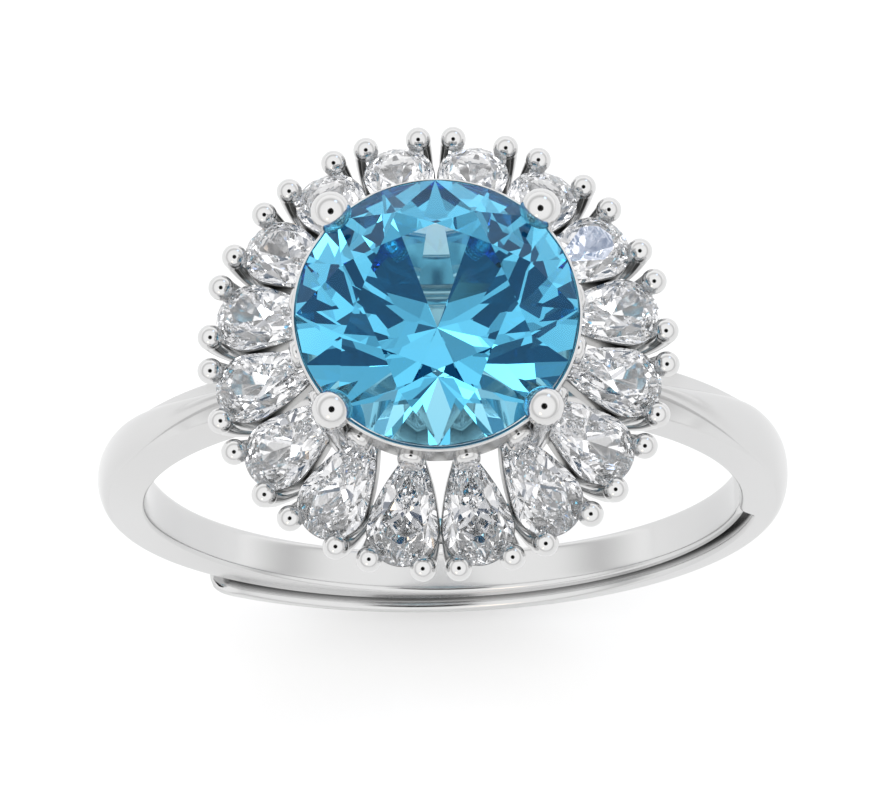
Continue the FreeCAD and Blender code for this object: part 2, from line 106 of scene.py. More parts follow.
# ---- the band's cross-section: lengths, and shares of the section's own thickness, width or dome
SOFT_EDGE_RISE = 0.1
SOFT_EDGE_SHARE = 0.15
DOME_MOST = 0.5
FLAT_FACE_SHARE = 0.7
FLAT_FACE_STEPS = 4
EDGE_PULL_SHARE = 0.94
EDGE_STEPS = 5
SLANT_SHARE = 0.14
SLANT_FULL_WIDTH = 0.1
CREASE_STEP = 0.035
CREASE_STEP_SHARE = 0.1
CREASE_OUT = 0.012
CREASE_UP_SHARE = 0.2
CORNER_SOFT = 0.07
CORNER_SOFT_SHARE = 0.45
CORNER_LEAST = 0.02
CORNER_STEPS = 4
DOME_STEPS = 14
DOME_POWER = 0.9
BAND_CREASE_DEGREES = 32

# ---- the pears and their cups
PEAR_COUNT = 16
PEAR_STEP = 360.0 / PEAR_COUNT
PEAR_TIP_REACH = 3.2
PEAR_TIP_LEVEL = 12.58
PEAR_TILT = 20.0
PEAR_LENGTH = 3.42
PEAR_WIDTH = 2.0
PEAR_SHOULDER = math.radians(12.0)
PEAR_FLANK_STEPS = 18
PEAR_END_STEPS = 22
CUP_LIP = 0.03
CUP_WALL = 0.22
CUP_DEPTH = 0.5
CUP_TOP_DROP = 0.05
CUP_BEVEL = 0.2
CUP_ROUND = 0.05

# ---- the rings that are turned about the stone's axis
RAIL_INNER = 4.55
RAIL_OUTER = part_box("halo_rail")[1][0] / MM
RAIL_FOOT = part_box("halo_rail")[0][2] / MM
RAIL_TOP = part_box("halo_rail")[1][2] / MM
RAIL_ROUND = 0.1
RAIL_SIDES = 240
COLLAR_TOP_RADIUS = 4.03
COLLAR_FOOT_RADIUS = 3.9
COLLAR_WALL = 0.34
COLLAR_TOP = 14.73
COLLAR_FOOT = 13.38
COLLAR_ROUND = 0.08
BASE_TOP_RADIUS = 2.95
BASE_FOOT_RADIUS = 2.62
BASE_WALL = 0.42
BASE_TOP = 11.0
BASE_FOOT = 9.75
BASE_ROUND = 0.12

# corners of the collar's wall and of its polished lip, outwards and up from the collar's top edge
COLLAR_SHOULDERS = ((-0.03, -0.12), (-COLLAR_WALL, -0.3))
LIP_CORNERS = ((-0.24, -0.24), (-0.02, -0.16), (0.03, -0.04), (-0.02, 0.04), (-0.12, -0.02))
LIP_ROUND = 0.04
LIP_SIDES = 200

# ---- claws, beads and tabs: distance from the stone's axis, height, radius, and angle off the pear
CLAW_COUNT = 4
CLAW_FIRST = 45.0
CLAW_HEAD = {"reach": 4.14, "level": 15.12, "radius": 0.575}
CLAW_NECK = {"reach": 4.2, "level": 14.5, "radius": 0.42}
CLAW_WAIST = {"reach": 3.85, "level": 11.8}
CLAW_FOOT = {"reach": 2.72, "level": 10.2, "radius": 0.30}
# where the middle control of each half of a claw lies, as a share of the way along that half
CLAW_LOWER_MIDDLE = 0.6
CLAW_UPPER_MIDDLE = 0.5
CLAW_LOWER_STEPS = 8
CLAW_UPPER_STEPS = 12

BEAD = {"reach": 6.49, "level": 11.68, "radius": 0.37, "angle": 6.8}
WIRE_FOOT = {"reach": 5.1, "level": 10.3, "radius": 0.21, "angle": 8.7}
WIRE_NECK_SHARE = 0.93
WIRE_KNEE_REACH_SHARE = 0.75
WIRE_KNEE_RISE_SHARE = 0.45
WIRE_KNEE_SPREAD = 1.2
WIRE_END_SHARE = 0.8
WIRE_STEPS = 12

TAB_HEAD = {"reach": 3.97, "level": 14.25}
TAB_FOOT = {"reach": 3.93, "level": 13.0}
TAB_WIDTH = 0.76
TAB_SQUARENESS = 0.75
TAB_SIDES = 40
# how far each layer of a tab stands out, and its share of the tab's outline
TAB_LAYERS = ((-0.05, 1.0), (0.03, 1.0), (0.10, 1.0), (0.17, 0.94), (0.22, 0.82), (0.25, 0.62),
              (0.262, 0.35), (0.265, 0.06))

# ---- how finely the skins are cut
WIRE_SIDES = 28
HEAD_STEPS = 14
HEAD_POINT_RADIUS = 0.002
LATHE_SIDES = 160
ROUNDED_STEPS = 4
# a rounded corner takes at most one part in this many of the side that it lies on
CORNER_PARTS = 2.2
MERGE_METRES = 1e-7
SETTING_CREASE_DEGREES = 50
SOFT_CREASE_DEGREES = 60

# ---- surface patterns: a noise's scale and detail, and how far it changes the surface
POLISH_CLOUD = (320.0, 3.0)
POLISH_SPREAD = (0.7, 1.4)
POLISH_SHADE = 0.96
GRAIN_DETAIL = 2.0
GRAIN_STRENGTH = 0.15
GEM_CLOUD = (240.0, 2.0)
GEM_SHADE = 0.97

# ---- the studio; the floor leaves room for the leaves to come down when the ring opens
LEAF_DROP = 0.9
FLOOR_HALF = 2000.0
FLOOR_GREY = 0.86
FLOOR_ROUGHNESS = 0.9
TENT_STRENGTH = 1.3
# greys of the white tent by how squarely a direction faces the lens; the last two are its dark spot
TENT_GREYS = ((0.0, 1.0), (0.30, 0.56), (0.52, 0.95), (0.84, 0.98), (0.947, 1.0), (0.957, 0.02),
              (1.0, 0.0))
# the patchwork of light cards that only the light inside the stones sees
CARD_SCALE = 3.4
CARD_TONES = ((0.18, (0.08, 0.10, 0.14)), (0.7, (0.96, 0.96, 0.96)))
CARD_DARKEST = (0.02, 0.05, 0.09)
# lamps: name, place, size, power in watts and colour
LAMPS = (
    ("softbox_left", (-190, -40, 170), 150, 0.16, (1.0, 1.0, 1.0)),
    ("softbox_right", (190, 30, 150), 110, 0.08, (1.0, 1.0, 1.0)),
    ("softbox_back", (20, 190, 120), 120, 0.06, (1.0, 1.0, 1.0)),
    ("card_blue", (70, 120, 120), 34, 0.006, (0.35, 0.55, 1.0)),
    ("card_tan", (-60, -150, 90), 30, 0.005, (1.0, 0.72, 0.45)),
)
LAMP_AIM = (0, 0, 8)

# ---- the picture's view
CAMERA_ELEVATION = math.radians(71.43)
CAMERA_AZIMUTH = math.radians(1.21)
CAMERA_ROLL = math.radians(2.09)
CAMERA_DISTANCE = 158.7
CAMERA_LENS = 214.6
CAMERA_SENSOR = 36.0
CAMERA_NEAR = 10.0
CAMERA_FAR = 20000.0
CAMERA_AIM = Vector((-0.1, 0.0, 7.5))

# ---- light bounces, enough for the many mirrorings inside a cut stone
MOST_BOUNCES = 28
STONE_BOUNCES = 24
SURE_BOUNCES = 12


# ================================================================ small helpers

def polar(reach, degrees, level):
    """A point at a distance, angle and height about the stone's axis."""
    turn = math.radians(degrees)
    return Vector((reach * math.cos(turn), reach * math.sin(turn), level))


def mix(a, b, t):
    """What lies the share t of the way from a to b."""
    return a + (b - a) * t


def smooth(t):
    """An even start and end between 0 and 1, flat beyond them."""
    t = min(1.0, max(0.0, t))
    return t * t * (3 - 2 * t)


def change(value, span):
    """0 at the span's first value, 1 at its second, and smooth between them."""
    start, end = span
    return smooth((value - start) / (end - start))


def make_piece(name, skin, material, sharp_degrees=None):
    """A mesh object from a skin in millimetres, smooth shaded, with creases where asked."""
    vertices, faces = skin
    mesh = bpy.data.meshes.new(name)
    mesh.from_pydata([Vector(v) * MM for v in vertices], [], faces)
    work = bmesh.new()
    work.from_mesh(mesh)
    bmesh.ops.remove_doubles(work, verts=work.verts, dist=MERGE_METRES)
    bmesh.ops.recalc_face_normals(work, faces=work.faces)
    work.to_mesh(mesh)
    work.free()
    for polygon in mesh.polygons:
        polygon.use_smooth = True
    if sharp_degrees:
        mesh.set_sharp_from_angle(angle=math.radians(sharp_degrees))
    mesh.materials.append(material)
    piece = bpy.data.objects.new(name, mesh)
    bpy.context.scene.collection.objects.link(piece)
    return piece


def stitch_rings(rings, closed_along=False):
    """Vertices and faces of a skin over rings of equal length; open ends are capped."""
    count = len(rings[0])
    vertices = [point for ring in rings for point in ring]
    faces = []
    last = len(rings) if closed_along else len(rings) - 1
    for i in range(last):
        a = i * count
        b = ((i + 1) % len(rings)) * count
        for j in range(count):
            k = (j + 1) % count
            faces.append((a + j, a + k, b + k, b + j))
    if not closed_along:
        faces.append(tuple(range(count))[::-1])
        faces.append(tuple(range((len(rings) - 1) * count, len(rings) * count)))
    return vertices, faces


def join_skins(skins):
    """Several (vertices, faces) skins as one."""
    vertices = []
    faces = []
    for more_vertices, more_faces in skins:
        shift = len(vertices)
        vertices.extend(more_vertices)
        faces.extend(tuple(index + shift for index in face) for face in more_faces)
    return vertices, faces


def tube(path, radii):
    """A round skin of varying radius along a path."""
    rings = []
    side = None
    for i, point in enumerate(path):
        ahead = (path[min(i + 1, len(path) - 1)] - path[max(i - 1, 0)]).normalized()
        if side is None:
            side = ahead.orthogonal().normalized()
        side = (side - ahead * side.dot(ahead)).normalized()
        other = ahead.cross(side)
        ring = []
        for k in range(WIRE_SIDES):
            turn = 2 * math.pi * k / WIRE_SIDES
            ring.append(point + (side * math.cos(turn) + other * math.sin(turn)) * radii[i])
        rings.append(ring)
    return stitch_rings(rings)


def bezier(points, steps):
    """Points along one Bezier curve through the given controls."""
    result = []
    for i in range(steps + 1):
        t = i / steps
        level = list(points)
        while len(level) > 1:
            level = [mix(level[j], level[j + 1], t) for j in range(len(level) - 1)]
        result.append(level[0])
    return result


def wire_with_head(path, radii, head, head_radius):
    """A tapered wire that swells into a round head at its end."""
    way = (head - path[-1]).normalized()
    start = math.asin(min(1.0, radii[-1] / head_radius))
    points = list(path)
    sizes = list(radii)
    for i in range(HEAD_STEPS + 1):
        turn = mix(start, math.pi, i / HEAD_STEPS)
        points.append(head - way * math.cos(turn) * head_radius)
        sizes.append(max(HEAD_POINT_RADIUS, math.sin(turn) * head_radius))
    return tube(points, sizes)


def lathe(profile, sides=LATHE_SIDES):
    """A skin turned about the stone's axis from a closed profile of (radius, height) points."""
    rings = []
    for k in range(sides):
        turn = 360.0 * k / sides
        rings.append([polar(radius, turn, level) for radius, level in profile])
    return stitch_rings(rings, closed_along=True)


def rounded(profile, radius):
    """A closed profile with every corner replaced by a short curve."""
    result = []
    for i, corner in enumerate(profile):
        here = Vector(corner)
        before = Vector(profile[i - 1])
        after = Vector(profile[(i + 1) % len(profile)])
        shorter = min((before - here).length, (after - here).length)
        cut = min(radius, shorter / CORNER_PARTS)
        start = here + (before - here).normalized() * cut
        end = here + (after - here).normalized() * cut
        for point in bezier([start, here, end], ROUNDED_STEPS):
            result.append((point.x, point.y))
    return result


# ================================================================ materials

def new_material(name):
    """A material with only a Principled shader; gives the material, that shader and its output."""
    material = bpy.data.materials.new(name)
    material.use_nodes = True
    nodes = material.node_tree.nodes
    nodes.clear()
    output = nodes.new("ShaderNodeOutputMaterial")
    shader = nodes.new("ShaderNodeBsdfPrincipled")
    material.node_tree.links.new(shader.outputs["BSDF"], output.inputs["Surface"])
    return material, shader, output


def noise(tree, scale, detail):
    """A noise pattern that stays in place on the piece."""
    place = tree.nodes.new("ShaderNodeTexCoord")
    pattern = tree.nodes.new("ShaderNodeTexNoise")
    pattern.inputs["Scale"].default_value = scale
    pattern.inputs["Detail"].default_value = detail
    tree.links.new(place.outputs["Object"], pattern.inputs["Vector"])
    return pattern.outputs["Fac"]


def clouded_colour(tree, shader, cloud, colour, shade):
    """The shader's colour varies with the cloud between a darker share of it and all of it."""
    tint = tree.nodes.new("ShaderNodeMix")
    tint.data_type = "RGBA"
    tint.inputs["A"].default_value = (*[c * shade for c in colour], 1.0)
    tint.inputs["B"].default_value = (*colour, 1.0)
    tree.links.new(cloud, tint.inputs["Factor"])
    tree.links.new(tint.outputs["Result"], shader.inputs["Base Color"])


def metal_material(name, colour, roughness, bump_height, grain):
    """Rhodium plate with a cloudy polish and a fine grain, whose height is in millimetres."""
    material, shader, _ = new_material(name)
    tree = material.node_tree
    shader.inputs["Metallic"].default_value = 1.0
    cloud = noise(tree, *POLISH_CLOUD)
    shine = tree.nodes.new("ShaderNodeMapRange")
    shine.inputs["To Min"].default_value = roughness * POLISH_SPREAD[0]
    shine.inputs["To Max"].default_value = roughness * POLISH_SPREAD[1]
    tree.links.new(cloud, shine.inputs["Value"])
    tree.links.new(shine.outputs["Result"], shader.inputs["Roughness"])
    clouded_colour(tree, shader, cloud, colour, POLISH_SHADE)
    bump = tree.nodes.new("ShaderNodeBump")
    bump.inputs["Strength"].default_value = GRAIN_STRENGTH
    bump.inputs["Distance"].default_value = bump_height * MM
    tree.links.new(noise(tree, grain, GRAIN_DETAIL), bump.inputs["Height"])
    tree.links.new(bump.outputs["Normal"], shader.inputs["Normal"])
    return material


def gem_material(name, tint, index, mirror):
    """A clear cut stone with sharp refraction; gives the material and its output."""
    material, shader, output = new_material(name)
    tree = material.node_tree
    shader.inputs["Transmission Weight"].default_value = 1.0
    shader.inputs["IOR"].default_value = index
    shader.inputs["Roughness"].default_value = 0.0
    shader.inputs["Specular Tint"].default_value = (*mirror, 1.0)
    clouded_colour(tree, shader, noise(tree, *GEM_CLOUD), tint, GEM_SHADE)
    return material, output


def colour_inside(material, output, colour, density):
    """The stone gathers this colour along the light's way through it."""
    volume = material.node_tree.nodes.new("ShaderNodeVolumeAbsorption")
    volume.inputs["Color"].default_value = (*colour, 1.0)
    volume.inputs["Density"].default_value = density
    material.node_tree.links.new(volume.outputs["Volume"], output.inputs["Volume"])


def band_metal_material():
    """The band's metal, which mirrors a little more softly than the setting's."""
    return metal_material("band_metal", (0.63, 0.63, 0.63),
                          roughness=0.17, bump_height=0.004, grain=900.0)


def setting_metal_material():
    """The brighter metal of the claws, beads, tabs and rings of the setting."""
    return metal_material("setting_metal", (0.67, 0.67, 0.67),
                          roughness=0.10, bump_height=0.008, grain=1400.0)


def painted_shade_metal_material():
    """A darker, rougher copy of the metal for the cups and the collar's wall; its darker colour is
    painted shade for the recesses under the stones.
    """
    return metal_material("painted_shade_metal", (0.46, 0.46, 0.455),
                          roughness=0.25, bump_height=0.012, grain=1100.0)


def blue_stone_material():
    """Blue stone: its colour is inside it, and its mirror gloss is tinted and weakened."""
    material, output = gem_material("blue_stone", (0.94, 0.97, 0.98),
                                    index=1.8, mirror=(0.15, 0.38, 0.53))
    colour_inside(material, output, colour=(0.3, 0.83, 0.97), density=290.0)
    return material


def clear_stone_material():
    """Clear stone, which bends light more than the blue one and has no colour inside."""
    material, _ = gem_material("clear_stone", (0.99, 0.99, 1.0),
                               index=2.15, mirror=(1.0, 1.0, 1.0))
    return material


# ================================================================ band

def ring_reach(radius, shift, degrees):
    """How far from the origin a circle shifted along X lies, at an angle from straight down."""
    along = shift * math.sin(math.radians(degrees))
    return along + math.sqrt(radius ** 2 - shift ** 2 + along ** 2)


def section_flank(half, shoulder, ridge, rise_of_edge, flank_top, crease):
    """(height, width) points from the middle of the finger side to the top of the flank."""
    flat = half * FLAT_FACE_SHARE
    points = [(0.0, flat * i / FLAT_FACE_STEPS) for i in range(FLAT_FACE_STEPS)]
    edge = [Vector((0, flat)), Vector((0, half * EDGE_PULL_SHARE)), Vector((rise_of_edge, half))]
    slope = Vector((flank_top - rise_of_edge, shoulder - half)).normalized()
    slant = Vector((crease - flank_top, ridge - shoulder)).normalized()
    soft = min(CORNER_SOFT, CORNER_SOFT_SHARE * max(CORNER_LEAST, shoulder - ridge))
    corner = Vector((flank_top, shoulder))
    turn_in = [corner - slope * soft, corner, corner + slant * soft]
    for point in bezier(edge, EDGE_STEPS) + bezier(turn_in, CORNER_STEPS):
        points.append((point.x, point.y))
    return points


def section_dome(thick, ridge, drop):
    """(height, width) points from the crease at the dome's edge to just before its top."""
    crease = thick - drop
    lift = min(CREASE_STEP, CREASE_STEP_SHARE * drop)
    points = [(crease, ridge + CREASE_OUT), (crease + lift * CREASE_UP_SHARE, ridge)]
    for i in range(1, DOME_STEPS):
        turn = math.pi / 2 * i / DOME_STEPS
        height = crease + lift + (drop - lift) * math.sin(turn) ** DOME_POWER
        points.append((height, ridge * math.cos(turn)))
    return points


def band_section(degrees, inner, outer, widths):
    """One closed section of the band, from its inner and outer radius at an angle.

    widths holds half the width at the finger, half the width where the flat flank ends, half the
    width of the dome, and how far the dome rises over its edge.
    """
    half, shoulder, ridge, drop = widths
    thick = outer - inner
    rise_of_edge = min(SOFT_EDGE_RISE, SOFT_EDGE_SHARE * thick)
    drop = min(drop, DOME_MOST * thick)
    crease = thick - drop
    flank_top = crease - SLANT_SHARE * min(1.0, (shoulder - ridge) / SLANT_FULL_WIDTH) * drop
    right = section_flank(half, shoulder, ridge, rise_of_edge, flank_top, crease)
    right += section_dome(thick, ridge, drop)
    left = [(height, -width) for height, width in right[:0:-1]]
    turn = math.radians(degrees)
    points = []
    for height, width in right + [(thick, 0.0)] + left:
        reach = inner + height
        points.append(Vector((reach * math.sin(turn), width, -reach * math.cos(turn))))
    return points


def band_widths(degrees, side, leaf, leaf_change):
    """The widths that band_section takes, on the ring's side, its leaf or the saddle on top."""
    down = change(degrees, leaf_change)
    top = change(abs(degrees), SADDLE_CHANGE)
    half = mix(mix(side["half"], leaf["half"], down), SADDLE["half"], top)
    shoulder = mix(mix(side["shoulder"], leaf["shoulder"], down), SADDLE["shoulder"], top)
    ridge = mix(shoulder - RIDGE_INSET, RIDGE_HALF, change(abs(degrees), RIDGE_CHANGE))
    return half, shoulder, ridge, mix(side["rise"], leaf["rise"], down)


def tip_scale(along, length):
    """How much of the full width is left near a rounded tip."""
    if along >= length:
        return 1.0
    return math.sqrt(max(0.0, 1 - ((length - along) / length) ** 2))


def build_band_half(name, start, end, inner_at, outer_at, widths_at, tip_round):
    """One side of the band from the top down to its leaf's tip."""
    rings = []
    for i in range(BAND_STATIONS + 1):
        degrees = mix(start, end, i / BAND_STATIONS)
        shrink = tip_scale(math.radians(abs(end - degrees)) * BORE_RADIUS, tip_round)
        thickness_share = max(TIP_THICKNESS_SHARE, shrink)
        middle = (inner_at(degrees) + outer_at(degrees)) / 2
        inner = mix(middle, inner_at(degrees), thickness_share)
        outer = mix(middle, outer_at(degrees), thickness_share)
        across = mix(TIP_WIDTH_SHARE, 1.0, shrink)
        half, shoulder, ridge, drop = widths_at(degrees)
        widths = (half * across, shoulder * across, ridge * across, drop)
        rings.append(band_section(degrees, inner, outer, widths))
    return make_piece(name, stitch_rings(rings), band_metal, BAND_CREASE_DEGREES)


def build_left_band():
    """The left side, which goes on into the inner leaf."""
    def inner_at(degrees):
        return BORE_RADIUS

    def outer_at(degrees):
        if degrees < -BAND_SIDE:
            return BAND_OUTER_RADIUS
        return ring_reach(INNER_LEAF_RADIUS, INNER_LEAF_SHIFT, degrees)

    def widths_at(degrees):
        return band_widths(degrees, LEFT_SIDE, LEFT_LEAF, LEFT_CHANGE)

    piece = build_band_half("band_left", -BAND_TOP, INNER_LEAF_TIP, inner_at, outer_at, widths_at,
                            INNER_LEAF_ROUND)
    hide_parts("inner_leaf", "upper_arch")
    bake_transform(piece)


def build_right_band():
    """The right side, which goes on into the outer leaf and makes room for the inner one."""
    def inner_at(degrees):
        relief = ring_reach(RELIEF_RADIUS, RELIEF_SHIFT, degrees)
        return mix(relief, BORE_RADIUS, change(degrees, RELIEF_RAMP))

    def outer_at(degrees):
        if degrees > BAND_SIDE:
            return BAND_OUTER_RADIUS
        return ring_reach(OUTER_LEAF_RADIUS, OUTER_LEAF_SHIFT, degrees)

    def widths_at(degrees):
        return band_widths(degrees, RIGHT_SIDE, RIGHT_LEAF, RIGHT_CHANGE)

    piece = build_band_half("band_right", BAND_TOP, OUTER_LEAF_TIP, inner_at, outer_at, widths_at,
                            OUTER_LEAF_ROUND)
    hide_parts("outer_leaf")
    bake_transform(piece)


# ================================================================ setting

def finish_setting(piece, *nodes):
    """The piece stands for these nodes of the head and moves with the head."""
    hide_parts(*nodes)
    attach(piece, "head")


def pear_angle(number):
    """The angle of a pear about the stone's axis; the first lies half a step from +X."""
    return PEAR_STEP * (number + 0.5)


def pear_outline(grow):
    """The pear's outline as points from its tip round and back, grown by a lip."""
    end_radius = PEAR_WIDTH / 2
    end_x = PEAR_LENGTH - end_radius
    lean = PEAR_SHOULDER
    extra = (end_x ** 2 - end_radius ** 2) / (2 * (end_radius - end_x * math.sin(lean)))
    flank = Vector((end_x + extra * math.sin(lean), -extra * math.cos(lean)))
    flank_radius = end_radius + extra + grow
    tip_turn = math.atan2(-flank.y, -math.sqrt(flank_radius ** 2 - flank.y ** 2))
    joint_turn = math.pi / 2 + lean
    upper = []
    for i in range(PEAR_FLANK_STEPS):
        turn = mix(tip_turn, joint_turn, i / PEAR_FLANK_STEPS)
        upper.append(flank + Vector((math.cos(turn), math.sin(turn))) * flank_radius)
    for i in range(PEAR_END_STEPS):
        turn = mix(joint_turn, 0.0, i / PEAR_END_STEPS)
        way = Vector((math.cos(turn), math.sin(turn)))
        upper.append(Vector((end_x, 0)) + way * (end_radius + grow))
    nose = Vector((end_x + end_radius + grow, 0))
    lower = [Vector((p.x, -p.y)) for p in upper[1:][::-1]]
    return upper + [nose] + lower


def build_cups():
    """Each cup leans outwards with its pear, its tip under the collar."""
    inside = CUP_LIP - CUP_WALL
    top = -CUP_TOP_DROP
    foot = top - CUP_DEPTH
    corners = [(CUP_LIP, foot), (CUP_LIP, top), (inside, top - CUP_BEVEL), (inside, foot)]
    profile = rounded(corners, CUP_ROUND)
    lean = Matrix.Rotation(math.radians(PEAR_TILT), 3, "Y")
    for number in range(PEAR_COUNT):
        turn = pear_angle(number)
        place = Matrix.Rotation(math.radians(turn), 3, "Z") @ lean
        tip = polar(PEAR_TIP_REACH, turn, PEAR_TIP_LEVEL)
        rings = []
        for grow, level in profile:
            rings.append([tip + place @ Vector((p.x, p.y, level)) for p in pear_outline(grow)])
        skin = stitch_rings(rings, closed_along=True)
        # the cups take the darker metal: painted shade under the pears
        piece = make_piece("cup_%02d" % (number + 1), skin, painted_shade_metal, SETTING_CREASE_DEGREES)
        finish_setting(piece, "pear_cup_%02d" % (number + 1))


def build_turned(name, node, profile, round_radius, material, sides=LATHE_SIDES,
                 sharp_degrees=SETTING_CREASE_DEGREES):
    """A ring turned about the stone's axis, with its corners rounded."""
    skin = lathe(rounded(profile, round_radius), sides)
    finish_setting(make_piece(name, skin, material, sharp_degrees), node)


def from_collar_edge(offsets):
    """(radius, height) points from offsets outwards and up of the collar's top edge."""
    return [(COLLAR_TOP_RADIUS + out, COLLAR_TOP + up) for out, up in offsets]


def build_collar():
    """The collar's matt wall, darkened with painted shade, and the polished lip that the centre
    stone's edge rests on.
    """
    foot = [(COLLAR_FOOT_RADIUS - COLLAR_WALL, COLLAR_FOOT), (COLLAR_FOOT_RADIUS, COLLAR_FOOT)]
    wall = foot + from_collar_edge(COLLAR_SHOULDERS)
    # the wall takes the darker metal: painted shade under the centre stone
    build_turned("collar", "stone_collar", wall, COLLAR_ROUND, painted_shade_metal)
    lip = from_collar_edge(LIP_CORNERS)
    build_turned("collar_lip", "stone_collar", lip, LIP_ROUND, setting_metal,
                 LIP_SIDES, SOFT_CREASE_DEGREES)


def build_base():
    """The small ring at the foot of the centre claws."""
    profile = [(BASE_FOOT_RADIUS - BASE_WALL, BASE_FOOT), (BASE_FOOT_RADIUS, BASE_FOOT),
               (BASE_TOP_RADIUS, BASE_TOP), (BASE_TOP_RADIUS - BASE_WALL, BASE_TOP)]
    build_turned("gallery_base", "basket_base", profile, BASE_ROUND, setting_metal)


def build_rail():
    """The flat ring that carries the halo's wires from below."""
    profile = [(RAIL_INNER, RAIL_FOOT), (RAIL_OUTER, RAIL_FOOT),
               (RAIL_OUTER, RAIL_TOP), (RAIL_INNER, RAIL_TOP)]
    build_turned("rail", "halo_rail", profile, RAIL_ROUND, setting_metal, RAIL_SIDES)


def build_centre_claws():
    """Four tapered claws from the base, past the collar, to round heads on the stone's edge."""
    for number in range(CLAW_COUNT):
        turn = CLAW_FIRST + 360.0 / CLAW_COUNT * number
        marks = (CLAW_FOOT, CLAW_WAIST, CLAW_NECK, CLAW_HEAD)
        foot, waist, neck, head = [polar(mark["reach"], turn, mark["level"]) for mark in marks]
        lower = bezier([foot, mix(foot, waist, CLAW_LOWER_MIDDLE), waist], CLAW_LOWER_STEPS)
        upper = bezier([waist, mix(waist, neck, CLAW_UPPER_MIDDLE), neck], CLAW_UPPER_STEPS)
        path = lower[:-1] + upper
        radii = []
        for point in path:
            t = (point.z - foot.z) / (neck.z - foot.z)
            radii.append(mix(CLAW_FOOT["radius"], CLAW_NECK["radius"], t))
        skin = wire_with_head(path, radii, head, CLAW_HEAD["radius"])
        piece = make_piece("claw_%d" % (number + 1), skin, setting_metal)
        finish_setting(piece, "centre_claw_%d" % (number + 1))


def bead_wire(axis, side):
    """One wire from the rail up beside a pear, ending in the bead that holds the pear's edge."""
    head = polar(BEAD["reach"], axis + side * BEAD["angle"], BEAD["level"])
    foot = polar(WIRE_FOOT["reach"], axis + side * WIRE_FOOT["angle"], WIRE_FOOT["level"])
    knee = polar(mix(WIRE_FOOT["reach"], BEAD["reach"], WIRE_KNEE_REACH_SHARE),
                 axis + side * (BEAD["angle"] + WIRE_KNEE_SPREAD),
                 mix(foot.z, head.z, WIRE_KNEE_RISE_SHARE))
    path = bezier([foot, knee, mix(knee, head, WIRE_END_SHARE)], WIRE_STEPS)
    neck_radius = BEAD["radius"] * WIRE_NECK_SHARE
    radii = [mix(WIRE_FOOT["radius"], neck_radius, i / WIRE_STEPS) for i in range(WIRE_STEPS + 1)]
    return wire_with_head(path, radii, head, BEAD["radius"])


def build_bead_claws():
    """Two beads at the round end of every pear."""
    skins = []
    for number in range(PEAR_COUNT):
        for side in (-1, 1):
            skins.append(bead_wire(pear_angle(number), side))
    finish_setting(make_piece("beads", join_skins(skins), setting_metal), "bead_claws")


def tab_skin(axis):
    """A round-ended tab that stands out from the collar, in layers that shrink to its crown."""
    foot = polar(TAB_FOOT["reach"], axis, TAB_FOOT["level"])
    up = polar(TAB_HEAD["reach"], axis, TAB_HEAD["level"]) - foot
    outwards = polar(1.0, axis, 0.0)
    across = Vector((0, 0, 1)).cross(outwards)
    rings = []
    for bulge, share in TAB_LAYERS:
        ring = []
        for k in range(TAB_SIDES):
            turn = 2 * math.pi * k / TAB_SIDES
            wide = math.cos(turn) * TAB_WIDTH / 2 * share
            squared = math.copysign(abs(math.sin(turn)) ** TAB_SQUARENESS, math.sin(turn))
            tall = 0.5 + squared * 0.5 * share
            ring.append(foot + up * tall + across * wide + outwards * bulge)
        rings.append(ring)
    return stitch_rings(rings)


def build_tabs():
    """A tab on the collar over each pear's tip."""
    skin = join_skins([tab_skin(pear_angle(number)) for number in range(PEAR_COUNT)])
    piece = make_piece("tabs", skin, setting_metal, SOFT_CREASE_DEGREES)
    finish_setting(piece, "tip_prongs")


def dress_stones():
    """The cut stones keep their own facets and get their own materials."""
    for name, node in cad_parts.items():
        if "stone" in name and "collar" not in name:
            material = blue_stone if name == "centre_stone" else clear_stone
            for slot in node.material_slots:
                slot.material = material


# ================================================================ studio

def colour_ramp(tree, source, stops):
    """The source's value turned into a colour, through (position, colour) stops."""
    ramp = tree.nodes.new("ShaderNodeValToRGB")
    elements = ramp.color_ramp.elements
    given = len(elements)
    for number, (position, colour) in enumerate(stops):
        element = elements[number] if number < given else elements.new(position)
        element.position = position
        element.color = (*colour, 1.0)
    tree.links.new(source, ramp.inputs["Fac"])
    return ramp.outputs["Color"]


def colour_mix(tree, blend, first, second):
    """A colour mix at full strength, of sockets or fixed colours; gives the mix node."""
    node = tree.nodes.new("ShaderNodeMix")
    node.data_type = "RGBA"
    node.blend_type = blend
    node.inputs["Factor"].default_value = 1.0
    for socket, source in (("A", first), ("B", second)):
        if isinstance(source, tuple):
            node.inputs[socket].default_value = (*source, 1.0)
        else:
            tree.links.new(source, node.inputs[socket])
    return node


def build_floor():
    """A plain pale floor, low enough for the opened leaves."""
    floor_level = cad_low[2] - LEAF_DROP * MM
    reach = FLOOR_HALF * MM
    corners = [(-reach, -reach), (reach, -reach), (reach, reach), (-reach, reach)]
    mesh = bpy.data.meshes.new("floor")
    mesh.from_pydata([(x, y, floor_level) for x, y in corners], [], [(0, 1, 2, 3)])
    floor = bpy.data.objects.new("floor", mesh)
    bpy.context.scene.collection.objects.link(floor)
    material, shader, _ = new_material("floor_paper")
    shader.inputs["Base Color"].default_value = (FLOOR_GREY, FLOOR_GREY, FLOOR_GREY, 1.0)
    shader.inputs["Roughness"].default_value = FLOOR_ROUGHNESS
    mesh.materials.append(material)


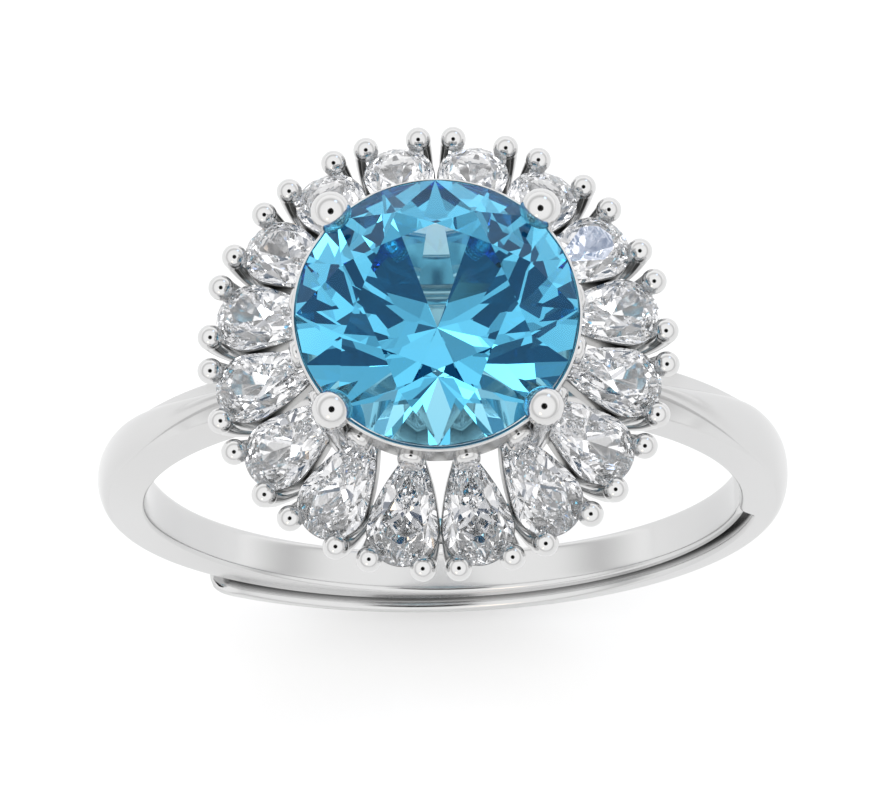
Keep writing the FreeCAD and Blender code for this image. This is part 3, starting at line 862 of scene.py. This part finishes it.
def build_tent():
    """White paper all round with a dark spot at the lens; the stones also see light cards in it."""
    world = bpy.data.worlds.new("tent")
    bpy.context.scene.world = world
    world.use_nodes = True
    tree = world.node_tree
    tree.nodes.clear()
    output = tree.nodes.new("ShaderNodeOutputWorld")
    background = tree.nodes.new("ShaderNodeBackground")
    background.inputs["Strength"].default_value = TENT_STRENGTH
    place = tree.nodes.new("ShaderNodeTexCoord")
    facing = tree.nodes.new("ShaderNodeVectorMath")
    facing.operation = "DOT_PRODUCT"
    facing.inputs[1].default_value = camera_place().normalized()
    tree.links.new(place.outputs["Generated"], facing.inputs[0])
    greys = [(position, (grey, grey, grey)) for position, grey in TENT_GREYS]
    paper = colour_ramp(tree, facing.outputs["Value"], greys)
    patches = tree.nodes.new("ShaderNodeTexVoronoi")
    patches.inputs["Scale"].default_value = CARD_SCALE
    tree.links.new(place.outputs["Generated"], patches.inputs["Vector"])
    cards = colour_ramp(tree, patches.outputs["Color"], CARD_TONES)
    crossed = colour_mix(tree, "MULTIPLY", paper, cards)
    lifted = colour_mix(tree, "LIGHTEN", crossed.outputs["Result"], CARD_DARKEST)
    chosen = colour_mix(tree, "MIX", paper, lifted.outputs["Result"])
    ray = tree.nodes.new("ShaderNodeLightPath")
    tree.links.new(ray.outputs["Is Transmission Ray"], chosen.inputs["Factor"])
    tree.links.new(chosen.outputs["Result"], background.inputs["Color"])
    tree.links.new(background.outputs["Background"], output.inputs["Surface"])


def build_lamps():
    """Soft lamps that the metal doesn't mirror, and two small tinted cards that it does."""
    for name, place, size, power, colour in LAMPS:
        light = bpy.data.lights.new(name, "AREA")
        light.size = size * MM
        light.energy = power
        light.color = colour
        lamp = bpy.data.objects.new(name, light)
        lamp.visible_glossy = name.startswith("card")
        lamp.location = Vector(place) * MM
        way = Vector(LAMP_AIM) - Vector(place)
        lamp.rotation_euler = way.to_track_quat("-Z", "Y").to_euler()
        bpy.context.scene.collection.objects.link(lamp)


def camera_place():
    """The camera's place in millimetres."""
    flat = CAMERA_DISTANCE * math.cos(CAMERA_ELEVATION)
    return Vector((flat * math.sin(CAMERA_AZIMUTH), -flat * math.cos(CAMERA_AZIMUTH),
                   CAMERA_DISTANCE * math.sin(CAMERA_ELEVATION)))


def build_camera():
    """A long lens from above and in front, rolled slightly."""
    data = bpy.data.cameras.new("camera")
    data.lens = CAMERA_LENS
    data.sensor_width = CAMERA_SENSOR
    data.clip_start = CAMERA_NEAR * MM
    data.clip_end = CAMERA_FAR * MM
    camera = bpy.data.objects.new("camera", data)
    camera.location = camera_place() * MM
    look = (CAMERA_AIM - camera_place()).to_track_quat("-Z", "Y").to_matrix()
    roll = Matrix.Rotation(-CAMERA_ROLL, 3, "Z")
    camera.rotation_euler = (look @ roll).to_euler()
    bpy.context.scene.collection.objects.link(camera)
    bpy.context.scene.camera = camera


def set_light_bounces():
    """Light goes on inside the stones for long enough to come out again."""
    cycles = bpy.context.scene.cycles
    cycles.max_bounces = MOST_BOUNCES
    cycles.min_light_bounces = SURE_BOUNCES
    cycles.glossy_bounces = STONE_BOUNCES
    cycles.transmission_bounces = STONE_BOUNCES


bpy.context.scene.view_settings.view_transform = "Standard"
set_light_bounces()
band_metal = band_metal_material()
setting_metal = setting_metal_material()
# a darker copy of the metal: painted shade for the cups and the collar's wall
painted_shade_metal = painted_shade_metal_material()
blue_stone = blue_stone_material()
clear_stone = clear_stone_material()
build_camera()
build_floor()
build_tent()
build_lamps()
build_left_band()
build_right_band()
build_collar()
build_base()
build_rail()
build_cups()
build_centre_claws()
build_bead_claws()
build_tabs()
dress_stones()
